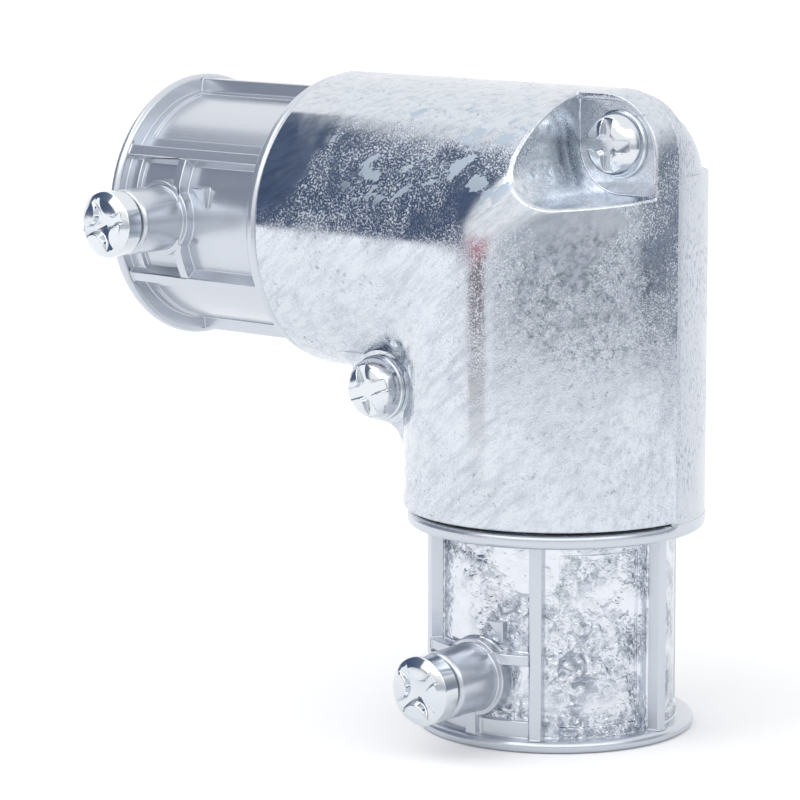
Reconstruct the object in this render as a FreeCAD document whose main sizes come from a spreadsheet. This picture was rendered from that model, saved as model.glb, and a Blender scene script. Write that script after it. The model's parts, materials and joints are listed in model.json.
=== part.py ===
"""Right-angle pulling elbow for thin-wall conduit of 23.4 mm outside diameter.

Two die castings: a body with two ribbed sockets, and a cover that closes the front half of the elbow.
The socket axes meet in a corner point: one socket points down (-Z), the other to the side (-X), and the
cover faces -Y. Everything is drawn about that corner point, and each finished piece is then lifted, so
that the origin is the centre of the bottom socket's mouth.
"""
import FreeCAD
import Part
import math
import os
import re

SIZES = [
    ("tube_bore_radius", 11.95, "socket bore, clearance on the tube"),
    ("socket_depth", 22.0, "how far the tube goes in"),
    ("stop_thickness", 2.4, "wall that the tube end stops against"),
    ("stop_step", 1.25, "how far the stop stands into the bore"),
    ("chamber_reach", 30.25, "corner point to the end wall of the wire chamber"),
    ("chamber_step", 2.85, "chamber radius beyond the socket bore"),
    ("wall", 1.75, "wall of the body's barrel"),
    ("cover_overhang", 0.5, "cover radius beyond the body's barrel"),
    ("cover_gap", 0.35, "gap between the cover's end and the shoulder ring"),
    ("parting_depth", 0.5, "parting plane of the castings, in front of the socket axes"),
    ("corner_radius", 7.0, "rounding of the barrel's outer corner"),
    ("pivot_clearance", 3.0, "start of the mitred corner beyond the barrel's radius"),
    ("hub_wall", 1.6, "socket wall between the ribs"),
    ("rib_height", 1.45, "ribs on the front half of a socket"),
    ("rear_rib_height", 0.85, "ribs on the back half of a socket"),
    ("rib_tip_width", 1.3, "rib width at its tip"),
    ("rib_root_width", 2.0, "rib width at its root"),
    ("flange_height", 1.95, "end flange above the socket wall"),
    ("flange_thickness", 1.3, "end flange along the socket"),
    ("ring_overhang", 0.05, "shoulder ring beyond the body's barrel"),
    ("ring_thickness", 1.6, "shoulder ring along the socket"),
    ("set_screw_inset", 7.65, "set screw axis from the socket's mouth"),
    ("set_boss_radius", 3.75, "set screw boss"),
    ("set_boss_height", 7.25, "set screw boss above the socket wall"),
    ("collar_width", 0.6, "collar at the boss's root, beyond the boss"),
    ("collar_height", 1.1, "collar above the socket wall"),
    ("cross_rib_inset", 10.15, "rib across the set screw panel, from the mouth"),
    ("cross_rib_width", 1.2, "rib across the set screw panel"),
    ("mouth_strip_width", 1.9, "raised strip beside the flange in the set screw panel"),
    ("mouth_strip_height", 0.6, "raised strip above the socket wall"),
    ("window_depth", 0.3, "sunk window in a panel between two ribs"),
    ("window_margin", 1.2, "border left between a window and what frames its panel"),
    ("mark_inset", 14.2, "base of the triangle mark, from the mouth"),
    ("mark_length", 2.1, "triangle mark along the socket"),
    ("mark_width", 2.4, "triangle mark across the socket"),
    ("mark_offset", 3.8, "upright side of the triangle mark beside the set screw's axis"),
    ("mark_height", 0.5, "triangle mark above the socket wall"),
    ("set_thread_radius", 2.4, "set screw thread"),
    ("set_head_radius", 3.8, "set screw head"),
    ("set_head_height", 3.0, "set screw head"),
    ("set_head_gap", 0.6, "head clear of its boss before it is tightened"),
    ("set_tip_clearance", 0.15, "tip clear of the bore before it is tightened"),
    ("cover_thread_radius", 2.05, "cover screw thread"),
    ("cover_head_radius", 3.7, "cover screw head"),
    ("cover_head_height", 2.8, "cover screw head"),
    ("thread_clearance", 0.05, "radial play of a thread in its hole"),
    ("hole_clearance", 0.25, "radial play of a cover screw in the cover"),
    ("crown_height", 0.3, "bevel at the edge of a screw head, along the screw"),
    ("crown_inset", 0.3, "bevel at the edge of a screw head, across the screw"),
    ("recess_depth", 1.7, "cross recess in a screw head"),
    ("recess_width", 1.5, "width of a recess wing at the face"),
    ("recess_rim", 0.75, "metal left between a wing's end and the head's edge"),
    ("recess_taper", 0.35, "how much a recess wing narrows on each side"),
    ("inner_standoff", 0.25, "inner cover screw axis beyond the cover's radius"),
    ("inner_seat_height", 9.5, "inner screw seat above the parting plane"),
    ("inner_boss_radius", 3.8, "ear under the inner cover screw"),
    ("ear_fillet", 3.2, "hollow between the ear and each arm"),
    ("scoop_clearance", 0.5, "scoop in the arms, clear of the inner screw head"),
    ("inner_screw_length", 16.0, "inner cover screw under its head"),
    ("outer_inset", 5.75, "outer cover screw axis inside the cover's radius"),
    ("pocket_floor_height", 3.0, "pocket floor above the parting plane"),
    ("pocket_radius", 5.5, "pocket wall about the outer screw"),
    ("pocket_draft", 4.5, "draft of the pocket's wall in degrees"),
    ("pocket_wall", 1.8, "metal behind the pocket's wall"),
    ("rim_width", 1.1, "rim left along the pocket's open edge"),
    ("rim_height", 0.4, "rim above the pocket's floor"),
    ("outer_screw_length", 7.0, "outer cover screw under its head"),
    ("hole_end", 0.6, "blind hole beyond a cover screw's tip"),
    ("boss_end", 1.5, "metal beyond a blind hole"),
    ("setback", 0.65, "step of the body's outer corner behind the lip"),
    ("setback_inset", 8.9, "edge of that step inside the body's radius"),
    ("lip_height", 2.6, "lip of the body behind the parting plane"),
]

# Working sizes that follow from the driving ones, as expressions of the sheet's names.
REACH = "(chamber_reach + stop_thickness + socket_depth)"
HUB_RADIUS = "(tube_bore_radius + hub_wall)"
CHAMBER_RADIUS = "(tube_bore_radius + chamber_step)"
BODY_RADIUS = f"({CHAMBER_RADIUS} + wall)"
COVER_RADIUS = f"({BODY_RADIUS} + cover_overhang)"
INNER_OFFSET = f"({COVER_RADIUS} + inner_standoff)"
OUTER_OFFSET = f"({COVER_RADIUS} - outer_inset)"
POCKET_EDGE = f"({OUTER_OFFSET} - pocket_radius)"
INNER_SEAT = "(inner_seat_height + parting_depth)"
POCKET_FLOOR = "(pocket_floor_height + parting_depth)"
INNER_HOLE_END = f"(inner_screw_length - {INNER_SEAT} + hole_end)"
OUTER_HOLE_END = f"(outer_screw_length - {POCKET_FLOOR} + hole_end)"
SET_SCREW_LEVEL = f"({REACH} - set_screw_inset)"
SET_HEAD_SEAT = f"({HUB_RADIUS} + set_boss_height + set_head_gap)"
SPAN = f"(3 * {COVER_RADIUS})"

X_AXIS = FreeCAD.Vector(1, 0, 0)
Y_AXIS = FreeCAD.Vector(0, 1, 0)
Z_AXIS = FreeCAD.Vector(0, 0, 1)
UPRIGHT = FreeCAD.Rotation()
TO_FRONT = FreeCAD.Rotation(X_AXIS, 90)
RIB_COUNT = 6
PANEL_ANGLE = 360 / RIB_COUNT
REAR_RIBS = (0, RIB_COUNT - 1)
SET_SCREW_PANEL = RIB_COUNT // 2
FRONT = -1
BACK = 1
TOUCH = 0.001
PATCH_SPANS = 8
PATCH_KNOTS = [span / PATCH_SPANS for span in range(1, PATCH_SPANS)]
KNOT_PRECISION = 1e-9
# How far each screw happens to be turned, in degrees.
SCREW_TURNS = {"cover_screw_inner": 18, "cover_screw_outer": 0, "set_screw_side": 20, "set_screw_bottom": 40}

document = FreeCAD.newDocument("pulling_elbow")
sheet = document.addObject("Spreadsheet::Sheet", "Dimensions")
for row, (alias, size, meaning) in enumerate(SIZES, start=1):
    sheet.set(f"A{row}", meaning)
    sheet.set(f"B{row}", str(size))
    sheet.setAlias(f"B{row}", alias)
document.recompute()
ALIASES = re.compile(r"\b(" + "|".join(alias for alias, _, _ in SIZES) + r")\b")


def bind(item, name, expression):
    """Tie one property to the sheet."""
    item.setExpression(name, ALIASES.sub(r"Dimensions.\1", expression))


def solid(kind, name, sizes, at=("0", "0", "0"), turn=UPRIGHT):
    """Add a primitive with its sizes and its place tied to the sheet."""
    item = document.addObject(f"Part::{kind}", name)
    item.Placement = FreeCAD.Placement(FreeCAD.Vector(), turn)
    for key, expression in sizes.items():
        bind(item, key, expression)
    for letter, expression in zip("xyz", at):
        bind(item, f"Placement.Base.{letter}", expression)
    return item


def box(name, low, high):
    """Add a box between two corners given as expressions."""
    sides = {key: f"({top}) - ({bottom})"
             for key, bottom, top in zip(("Length", "Width", "Height"), low, high)}
    return solid("Box", name, sides, low)


def fuse(name, *items):
    """Join solids into one."""
    item = document.addObject("Part::MultiFuse", name)
    item.Shapes = list(items)
    return item


def cut(name, base, *tools):
    """Take one or more solids away from another."""
    item = document.addObject("Part::Cut", name)
    item.Base = base
    item.Tool = tools[0] if len(tools) == 1 else fuse(f"{name}_tools", *tools)
    return item


def common(name, base, tool):
    """Keep what two solids share."""
    item = document.addObject("Part::Common", name)
    item.Base = base
    item.Tool = tool
    return item


def mirrored(name, source):
    """Copy a solid across the mitre plane, which swaps X and Z."""
    item = document.addObject("Part::Mirroring", name)
    item.Source = source
    item.Normal = FreeCAD.Vector(1, 0, -1)
    return item


def rounded(name, source, radius_text, chosen):
    """Fillet the edges of a solid that pass a test."""
    document.recompute()
    item = document.addObject("Part::Fillet", name)
    item.Base = source
    radius = value(radius_text)
    item.Edges = [(number, radius, radius) for number, edge in enumerate(source.Shape.Edges, start=1)
                  if chosen(edge)]
    return item


def on_mitre(edge):
    """Tell whether an edge lies in the mitre plane, where X equals Z."""
    return all(abs(vertex.X - vertex.Z) < TOUCH for vertex in edge.Vertexes)


def corner_block(name, reach, radius_text):
    """Square block from the corner point to a reach in X and Z, with its far corner rounded."""
    block = box(f"{name}_block", ("0", f"-{SPAN}", "0"), (reach, SPAN, reach))
    return rounded(name, block, radius_text, lambda side: on_mitre(side) and side.CenterOfMass.x > TOUCH)


def finished(item, label, at=("0", "0", "0")):
    """Name a piece and lift it, so that the origin is the bottom socket's mouth."""
    item.Label = label
    for letter, expression in zip("xyz", at):
        lift = REACH if letter == "z" else "0"
        bind(item, f"Placement.Base.{letter}", f"{expression} + {lift}")
    return item


def value(expression):
    """Work out an expression of the sheet's names as a plain number."""
    return float(sheet.evalExpression(ALIASES.sub(r"Dimensions.\1", expression)))


def bezier_patch(rows, row_weights, column_weights):
    """Make an exact rational surface from three rows of three control points."""
    surface = Part.BSplineSurface()
    weights = [[row * column for column in column_weights] for row in row_weights]
    surface.buildFromPolesMultsKnots(rows, [3, 3], [3, 3], [0, 1], [0, 1], False, False, 2, 2, weights)
    # Knots leave the form as it is, and facets then follow it more evenly.
    for insert_knots in (surface.insertUKnots, surface.insertVKnots):
        insert_knots(PATCH_KNOTS, [1] * len(PATCH_KNOTS), KNOT_PRECISION)
    return surface


def corner_wedge(radius, pivot, rounding, turns, side):
    """Build the rounded middle of a mitred corner.

    Seen along Y it is an arc between two rays from a pivot in the inner corner. Every cut through the
    pivot is part of an ellipse, and the two end cuts are those of the plain cylinders beside it.
    """
    outer = pivot + radius
    middle_weight = math.cos(math.pi / 4)
    outline = [(outer - rounding, outer), (outer, outer), (outer, outer - rounding)]
    patches = []
    for start, stop in zip(turns, turns[1:]):
        middle, half = (start + stop) / 2, (stop - start) / 2
        reaches = [(radius, start), (radius / math.cos(half), middle), (radius, stop)]
        profile = [(pivot + reach * math.cos(turn), reach * math.sin(turn)) for reach, turn in reaches]
        rows = [[FreeCAD.Vector(x * way / outer - pivot, side * depth, z * way / outer - pivot)
                 for way, depth in profile] for x, z in outline]
        patches.append(bezier_patch(rows, (1, middle_weight, 1), (1, math.cos(half), 1)))
    faces = [patch.toShape() for patch in patches]
    closing_lines = []
    for end in (0, 1):
        arcs = [patch.uIso(end) for patch in patches]
        line = Part.LineSegment(arcs[0].value(0), arcs[-1].value(1))
        closing_lines.append(line)
        faces.append(flat_face([*arcs, line]))
    faces.append(flat_face([patches[0].vIso(0), patches[-1].vIso(1), *closing_lines]))
    joined = Part.makeCompound(faces)
    joined.sewShape()
    return Part.Solid(joined.Shells[0])


def flat_face(curves):
    """Make a flat face inside a closed loop of curves."""
    edges = [curve.toShape() for curve in curves]
    return Part.Face(Part.Wire(Part.__sortEdges__(edges)))


def half_elbow(name, radius_text, end_text, side):
    """Build one half of a solid mitred barrel with a softened corner, flat at the parting plane."""
    radius, end, parting = value(radius_text), value(end_text), value("parting_depth")
    pivot = radius + value("pivot_clearance")
    rounding = value("corner_radius")
    span = value(SPAN)
    edge_turn = -side * math.asin(parting / radius)
    wedge = corner_wedge(radius, pivot, rounding, (edge_turn, math.pi / 2, math.pi - edge_turn), side)
    outer = pivot + radius
    ray_end = (2 * outer - pivot, 2 * (outer - rounding) - pivot)
    corners = [(-pivot, -pivot), ray_end, (span, -end), (-span, -end)]
    near = min(-parting, side * span)
    outline = [FreeCAD.Vector(x, near, z) for x, z in corners]
    room = Part.Face(Part.makePolygon([*outline, outline[0]])).extrude(Y_AXIS * (span + side * parting))
    lower_arm = Part.makeCylinder(radius, end + span, Z_AXIS * -end).common(room)
    side_arm = lower_arm.mirror(FreeCAD.Vector(), FreeCAD.Vector(1, 0, -1))
    item = document.addObject("Part::Feature", name)
    item.Shape = lower_arm.fuse([wedge, side_arm]).Solids[0]
    return item


def wire_chamber():
    """Hollow of the elbow, with metal left round the two cover screws.

    It is centred on the parting plane, so that each casting draws straight off its half of the core.
    """
    lower = solid("Cylinder", "lower_chamber", {"Radius": CHAMBER_RADIUS, "Height": "chamber_reach"},
                  ("0", "-parting_depth", "-chamber_reach"))
    upper_end = solid("Cylinder", "upper_end", {"Radius": CHAMBER_RADIUS, "Height": CHAMBER_RADIUS},
                      ("0", "-parting_depth", "0"))
    corner = common("chamber_corner", upper_end, mirrored("side_end", upper_end))
    hollow = fuse("hollow", lower, mirrored("side_chamber", lower), corner)
    edge = f"({POCKET_EDGE} - pocket_wall)"
    post = box("outer_post", (edge, f"-{SPAN}", edge), (SPAN, SPAN, SPAN))
    ear_core = solid("Cylinder", "ear_core", {"Radius": "inner_boss_radius", "Height": SPAN},
                     (f"-{INNER_OFFSET}", f"{INNER_HOLE_END} + boss_end", f"-{INNER_OFFSET}"), TO_FRONT)
    return cut("chamber", hollow, post, ear_core)


def ear(name, front, back):
    """Screw ear in the inner corner, with a hollow fillet to each arm."""
    low = f"-({INNER_OFFSET} + inner_boss_radius)"
    arm = f"-sqrt({COVER_RADIUS} ^ 2 - {INNER_SEAT} ^ 2)"
    post = solid("Cylinder", f"{name}_post", {"Radius": "inner_boss_radius", "Height": f"{front} + {back}"},
                 (f"-{INNER_OFFSET}", back, f"-{INNER_OFFSET}"), TO_FRONT)
    web = box(f"{name}_web", (f"-{INNER_OFFSET}", f"-({front})", low), ("0", back, f"-{INNER_OFFSET}"))
    gusset = box(f"{name}_gusset", (f"{arm} - ear_fillet", f"-({front})", f"{low} - ear_fillet"),
                 (f"{arm} / 2", back, low))
    hollow = solid("Cylinder", f"{name}_hollow", {"Radius": "ear_fillet", "Height": f"{front} + {back}"},
                   (f"{arm} - ear_fillet", back, f"{low} - ear_fillet"), TO_FRONT)
    half = fuse(f"{name}_half", web, cut(f"{name}_fillet", gusset, hollow))
    return fuse(name, post, half, mirrored(f"{name}_other_half", half))


def screw_hole(name, offset, radius, front, back):
    """Hole along Y for a cover screw on the mitre plane."""
    return solid("Cylinder", name, {"Radius": radius, "Height": f"({front}) + ({back})"},
                 (offset, back, offset), TO_FRONT)


def rib(name, angle, height, low, high):
    """Tapered rib along the bottom socket, at an angle from +Y."""
    root = f"({HUB_RADIUS} - hub_wall / 2)"
    tip = f"({HUB_RADIUS} + {height})"
    sizes = {
        "Xmin": "-rib_root_width / 2", "Xmax": "rib_root_width / 2",
        "X2min": "-rib_tip_width / 2", "X2max": "rib_tip_width / 2",
        "Ymin": root, "Ymax": tip,
        "Zmin": low, "Zmax": high, "Z2min": low, "Z2max": high,
    }
    return solid("Wedge", name, sizes, turn=FreeCAD.Rotation(Z_AXIS, angle))


def panel_sector(name, height, inset, width):
    """Raised band across the set screw panel of the bottom socket."""
    sizes = {"Radius": f"{HUB_RADIUS} + {height}", "Height": width, "Angle": f"{PANEL_ANGLE}"}
    return solid("Cylinder", name, sizes, ("0", "0", f"{inset} - {REACH}"),
                 FreeCAD.Rotation(Z_AXIS, -90 - PANEL_ANGLE / 2))


def panel_windows():
    """Sunk windows in the panels of the bottom socket, all but the one with the set screw."""
    half = f"({HUB_RADIUS} * sin({PANEL_ANGLE / 2} deg) - rib_root_width / 2 - window_margin)"
    low = f"flange_thickness + window_margin - {REACH}"
    high = "-(chamber_reach + ring_thickness + window_margin)"
    sizes = {
        "Xmin": f"-{half}", "Xmax": half, "X2min": f"-{half}", "X2max": half,
        "Ymin": f"{HUB_RADIUS} / 2", "Ymax": f"{HUB_RADIUS} + hub_wall",
        "Zmin": low, "Zmax": high, "Z2min": low, "Z2max": high,
    }
    panels = [number for number in range(RIB_COUNT) if number != SET_SCREW_PANEL]
    frames = [solid("Wedge", f"window_{number}", sizes, turn=FreeCAD.Rotation(Z_AXIS, number * PANEL_ANGLE))
              for number in panels]
    core = solid("Cylinder", "window_core", {"Radius": f"{HUB_RADIUS} - window_depth", "Height": SPAN},
                 ("0", "0", f"-{SPAN} - chamber_reach"))
    return cut("windows", fuse("window_frames", *frames), core)


def triangle_mark():
    """Small raised triangle beside the set screw of the bottom socket."""
    sizes = {
        "Xmin": "-mark_offset", "Xmax": "mark_width - mark_offset",
        "X2min": "-mark_offset", "X2max": "-mark_offset",
        "Ymin": "0", "Ymax": "mark_length",
        "Zmin": f"{HUB_RADIUS} - hub_wall", "Zmax": f"{HUB_RADIUS} + mark_height",
        "Z2min": f"{HUB_RADIUS} - hub_wall", "Z2max": f"{HUB_RADIUS} + mark_height",
    }
    return solid("Wedge", "triangle_mark", sizes, ("0", "0", f"mark_inset - {REACH}"),
                 FreeCAD.Rotation(Y_AXIS, 180) * TO_FRONT)


def socket_walls():
    """Outside of the bottom socket: wall, ribs, flange, shoulder ring and set screw boss."""
    mouth = f"-{REACH}"
    ring_end = "-(chamber_reach + ring_thickness)"
    drum = solid("Cylinder", "socket_drum", {"Radius": HUB_RADIUS, "Height": f"{REACH} - chamber_reach"},
                 ("0", "0", mouth))
    wall = cut("socket_wall", drum, panel_windows())
    flange = solid("Cylinder", "flange", {"Radius": f"{HUB_RADIUS} + flange_height",
                                          "Height": "flange_thickness"}, ("0", "0", mouth))
    ring = solid("Cylinder", "shoulder_ring", {"Radius": f"{BODY_RADIUS} + ring_overhang",
                                               "Height": "ring_thickness"}, ("0", "0", ring_end))
    ribs = []
    for number in range(RIB_COUNT):
        height = "rear_rib_height" if number in REAR_RIBS else "rib_height"
        ribs.append(rib(f"rib_{number}", (number + 0.5) * PANEL_ANGLE, height, mouth, ring_end))
    boss_rib = rib("boss_rib", 180, "rib_height", mouth, f"-{SET_SCREW_LEVEL}")
    cross_rib = panel_sector("cross_rib", "rib_height", "cross_rib_inset - cross_rib_width / 2",
                             "cross_rib_width")
    strip = panel_sector("mouth_strip", "mouth_strip_height", "flange_thickness", "mouth_strip_width")
    boss = solid("Cylinder", "set_boss", {"Radius": "set_boss_radius",
                                          "Height": f"{HUB_RADIUS} + set_boss_height"},
                 ("0", "0", f"-{SET_SCREW_LEVEL}"), TO_FRONT)
    collar = solid("Cylinder", "set_collar", {"Radius": "set_boss_radius + collar_width",
                                              "Height": f"{HUB_RADIUS} + collar_height"},
                   ("0", "0", f"-{SET_SCREW_LEVEL}"), TO_FRONT)
    return fuse("socket", wall, flange, ring, *ribs, boss_rib, cross_rib, strip, boss, collar,
                triangle_mark())


def socket_hollow():
    """Bore of the bottom socket, the opening in its stop, and the set screw's hole."""
    bore = solid("Cylinder", "bore", {"Radius": "tube_bore_radius", "Height": "socket_depth"},
                 ("0", "0", f"-{REACH}"))
    throat = solid("Cylinder", "throat", {"Radius": "tube_bore_radius - stop_step", "Height": REACH},
                   ("0", "0", f"-{REACH}"))
    hole = solid("Cylinder", "set_hole", {"Radius": "set_thread_radius + thread_clearance",
                                          "Height": SET_HEAD_SEAT},
                 ("0", "0", f"-{SET_SCREW_LEVEL}"), TO_FRONT)
    return fuse("socket_hollow", bore, throat, hole)


def make_body(chamber):
    """Casting with both sockets and the back half of the barrel."""
    end = "(chamber_reach + ring_thickness)"
    barrel = half_elbow("body_barrel", BODY_RADIUS, end, BACK)
    step_edge = f"({BODY_RADIUS} - setback_inset)"
    step_box = box("step_box", (step_edge, "lip_height - parting_depth", step_edge), (SPAN, SPAN, SPAN))
    core = half_elbow("step_core", f"({BODY_RADIUS} - setback)", end, BACK)
    shell = cut("back_shell", barrel, cut("corner_step", step_box, core))
    socket = socket_walls()
    solids = fuse("body_solids", shell, socket, mirrored("side_socket", socket),
                  ear("body_ear", "parting_depth", f"({INNER_HOLE_END} + boss_end)"))
    hollow = socket_hollow()
    radius = "cover_thread_radius + thread_clearance"
    return cut("body", solids, chamber, hollow, mirrored("side_hollow", hollow),
               screw_hole("inner_thread", f"-{INNER_OFFSET}", radius, SPAN, INNER_HOLE_END),
               screw_hole("outer_thread", OUTER_OFFSET, radius, SPAN, OUTER_HOLE_END))


def make_pocket():
    """Drafted pocket of the outer cover screw, with a rim along its open edge."""
    spread = f"(({SPAN} - {POCKET_FLOOR}) * tan(pocket_draft * 1 deg))"
    edge = POCKET_EDGE
    floor = f"-{POCKET_FLOOR}"
    sizes = {"Ymin": f"-{SPAN}", "Ymax": floor, "Xmax": SPAN, "Zmax": SPAN, "X2max": SPAN, "Z2max": SPAN,
             "X2min": edge, "Z2min": edge, "Xmin": f"{edge} - {spread}", "Zmin": f"{edge} - {spread}"}
    wedge = solid("Wedge", "pocket_wedge", sizes)
    middle = value(OUTER_OFFSET)
    mouth = rounded("pocket_mouth", wedge, "pocket_radius",
                    lambda side: on_mitre(side) and side.CenterOfMass.x < middle)
    slab = box("rim_slab", ("0", f"{floor} - rim_height", "0"), (SPAN, floor, SPAN))
    rim = cut("pocket_rim", slab, corner_block("rim_core", f"({COVER_RADIUS} - rim_width)", "pocket_radius"))
    return cut("pocket", mouth, rim)


def make_cover(chamber):
    """Casting that closes the front half of the barrel."""
    barrel = half_elbow("cover_barrel", COVER_RADIUS, "chamber_reach - cover_gap", FRONT)
    solids = fuse("cover_solids", barrel, ear("cover_ear", INNER_SEAT, "-parting_depth"))
    scoop = solid("Cone", "scoop", {"Radius1": "cover_head_radius + scoop_clearance",
                                    "Radius2": f"cover_head_radius + scoop_clearance + {COVER_RADIUS}",
                                    "Height": COVER_RADIUS},
                  (f"-{INNER_OFFSET}", f"-{INNER_SEAT}", f"-{INNER_OFFSET}"), TO_FRONT)
    radius = "cover_thread_radius + hole_clearance"
    return cut("cover", solids, chamber, make_pocket(), scoop,
               screw_hole("inner_clear", f"-{INNER_OFFSET}", radius, SPAN, "0"),
               screw_hole("outer_clear", OUTER_OFFSET, radius, SPAN, "0"))


def make_screw(name, thread, length, head, height):
    """Cross-recess screw: the head's underside is at its origin and faces its shank, towards +Y."""
    shank = solid("Cylinder", f"{name}_shank", {"Radius": thread, "Height": length},
                  ("0", "0", f"-({length})"))
    rim = solid("Cylinder", f"{name}_rim", {"Radius": head, "Height": f"{height} - crown_height"})
    crown = solid("Cone", f"{name}_crown", {"Radius1": head, "Radius2": f"{head} - crown_inset",
                                            "Height": "crown_height"}, ("0", "0", f"{height} - crown_height"))
    wing_end = f"({head} - recess_rim)"
    sizes = {
        "Ymin": f"{height} - recess_depth", "Ymax": height,
        "Xmin": f"-({wing_end} - 2 * recess_taper)", "Xmax": f"{wing_end} - 2 * recess_taper",
        "X2min": f"-{wing_end}", "X2max": wing_end,
        "Zmin": "recess_taper - recess_width / 2", "Zmax": "recess_width / 2 - recess_taper",
        "Z2min": "-recess_width / 2", "Z2max": "recess_width / 2",
    }
    wings = [solid("Wedge", f"{name}_wing_{number}", sizes,
                   turn=FreeCAD.Rotation(Z_AXIS, 90 * number) * TO_FRONT) for number in range(2)]
    form = fuse(f"{name}_form", shank, rim, crown)
    item = cut(name, form, *wings)
    item.Placement = FreeCAD.Placement(FreeCAD.Vector(), TO_FRONT * FreeCAD.Rotation(Z_AXIS, SCREW_TURNS[name]))
    return item


def make_screws():
    """The two cover screws and the two set screws, each in its place."""
    cover_head = ("cover_head_radius", "cover_head_height")
    inner = make_screw("cover_screw_inner", "cover_thread_radius", "inner_screw_length", *cover_head)
    outer = make_screw("cover_screw_outer", "cover_thread_radius", "outer_screw_length", *cover_head)
    set_length = f"({SET_HEAD_SEAT} - tube_bore_radius - set_tip_clearance)"
    set_head = ("set_head_radius", "set_head_height")
    side = make_screw("set_screw_side", "set_thread_radius", set_length, *set_head)
    bottom = make_screw("set_screw_bottom", "set_thread_radius", set_length, *set_head)
    return [
        finished(inner, "cover_screw_inner", (f"-{INNER_OFFSET}", f"-{INNER_SEAT}", f"-{INNER_OFFSET}")),
        finished(outer, "cover_screw_outer", (OUTER_OFFSET, f"-{POCKET_FLOOR}", OUTER_OFFSET)),
        finished(side, "set_screw_side", (f"-{SET_SCREW_LEVEL}", f"-{SET_HEAD_SEAT}", "0")),
        finished(bottom, "set_screw_bottom", ("0", f"-{SET_HEAD_SEAT}", f"-{SET_SCREW_LEVEL}")),
    ]


def write(pieces):
    """Check every object, then write each piece to its own file."""
    document.recompute()
    failed = [item.Name for item in document.Objects if {"Invalid", "Error"} & set(item.State)]
    if failed:
        raise RuntimeError("not rebuilt: " + ", ".join(failed))
    for piece in pieces:
        if piece.Shape.isNull() or not piece.Shape.isValid() or len(piece.Shape.Solids) != 1:
            raise RuntimeError(f"{piece.Label} is not one sound solid")
    os.makedirs("parts", exist_ok=True)
    for piece in pieces:
        piece.Shape.exportStep(f"parts/{piece.Label}.step")
        print(piece.Label, round(piece.Shape.Volume, 1), piece.Shape.BoundBox)


hollow_inside = wire_chamber()
body = finished(make_body(hollow_inside), "body")
cover = finished(make_cover(hollow_inside), "cover")
write([body, cover, *make_screws()])
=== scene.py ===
"""Looks of a right-angle conduit pulling elbow, dressed around its CAD frame.

Two zinc die castings and four plated steel screws: the body with its two sockets keeps its satin
as-cast skin, the cover was tumbled bright, and the screws are zinc plated. Sizes are in millimetres.
A span gives the value from which a texture starts to show and the value at which it shows in full.
"""

import json
import logging
import math
from dataclasses import dataclass, field
from enum import Enum
from typing import Any, Callable, ClassVar

import bpy
from bpy.types import Material, MeshPolygon, Node, NodeSocket, NodeTree, Object
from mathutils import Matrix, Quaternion, Vector


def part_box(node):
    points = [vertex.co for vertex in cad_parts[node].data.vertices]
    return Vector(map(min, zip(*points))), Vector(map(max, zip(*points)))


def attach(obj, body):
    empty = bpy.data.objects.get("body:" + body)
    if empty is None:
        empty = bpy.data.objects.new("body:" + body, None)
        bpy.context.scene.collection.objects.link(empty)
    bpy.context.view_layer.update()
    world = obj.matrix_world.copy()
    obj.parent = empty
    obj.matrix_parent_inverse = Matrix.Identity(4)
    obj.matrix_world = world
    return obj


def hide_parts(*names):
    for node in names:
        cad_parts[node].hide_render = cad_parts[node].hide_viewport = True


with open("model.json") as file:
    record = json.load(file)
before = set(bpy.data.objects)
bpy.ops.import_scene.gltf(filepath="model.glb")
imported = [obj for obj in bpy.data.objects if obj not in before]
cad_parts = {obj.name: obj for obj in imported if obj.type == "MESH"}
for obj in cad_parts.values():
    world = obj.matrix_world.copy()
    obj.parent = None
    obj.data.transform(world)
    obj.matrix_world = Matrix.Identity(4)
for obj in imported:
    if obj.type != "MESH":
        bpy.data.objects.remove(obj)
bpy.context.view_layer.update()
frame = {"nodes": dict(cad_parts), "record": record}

MM = 0.001
SIDE_SOCKET = next(mount for mount in frame["record"]["mounts"] if mount["name"] == "side_socket")
# Height of the side socket's axis above the bottom socket's mouth.
ARM_LEVEL = SIDE_SOCKET["pos_m"][2] / MM
# Distance from a socket's mouth to the far side of its shoulder ring.
RING_TOP = 24.4
# Edges gentler than these are shaded smooth, in degrees.
SMOOTH_ANGLE = 21.0
THREAD_SMOOTH_ANGLE = 35.0
# A face counts as square to an axis when its normal has at least this share along it.
SQUARE = 0.9
# Inputs of a colour mix: how much of the second colour, the first colour, the second colour.
SHARE, FIRST, SECOND = 0, 6, 7
WHITE = "#FFFFFF"
log = logging.getLogger("pulling_elbow")

Span = tuple[float, float]
Triple = tuple[float, float, float]
Source = Node | NodeSocket
EdgeTest = Callable[[Vector, Vector], bool]


class Slot(Enum):
    """Material slots of the record."""

    SATIN_CASTING = "satin_casting"
    BRIGHT_CASTING = "bright_casting"
    PLATED_STEEL = "plated_steel"


class Rounding(Enum):
    """What gives each edge its share of a rounding's radius."""

    EVEN = "ANGLE"
    WEIGHTED = "WEIGHT"


def linear(hex_code: str) -> tuple[float, float, float, float]:
    """Turn an sRGB hex value into a linear colour.

    Args:
        hex_code: Six hex digits after a hash sign.

    Returns:
        Linear red, green, blue and an alpha of one.
    """
    parts = [int(hex_code[start:start + 2], 16) / 255 for start in (1, 3, 5)]
    tones = [part / 12.92 if part <= 0.04045 else ((part + 0.055) / 1.055) ** 2.4 for part in parts]
    return (*tones, 1.0)


def per_mm(size: float) -> float:
    """Scale at which one feature of a texture is as wide as a size."""
    return 1 / (size * MM)


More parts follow.
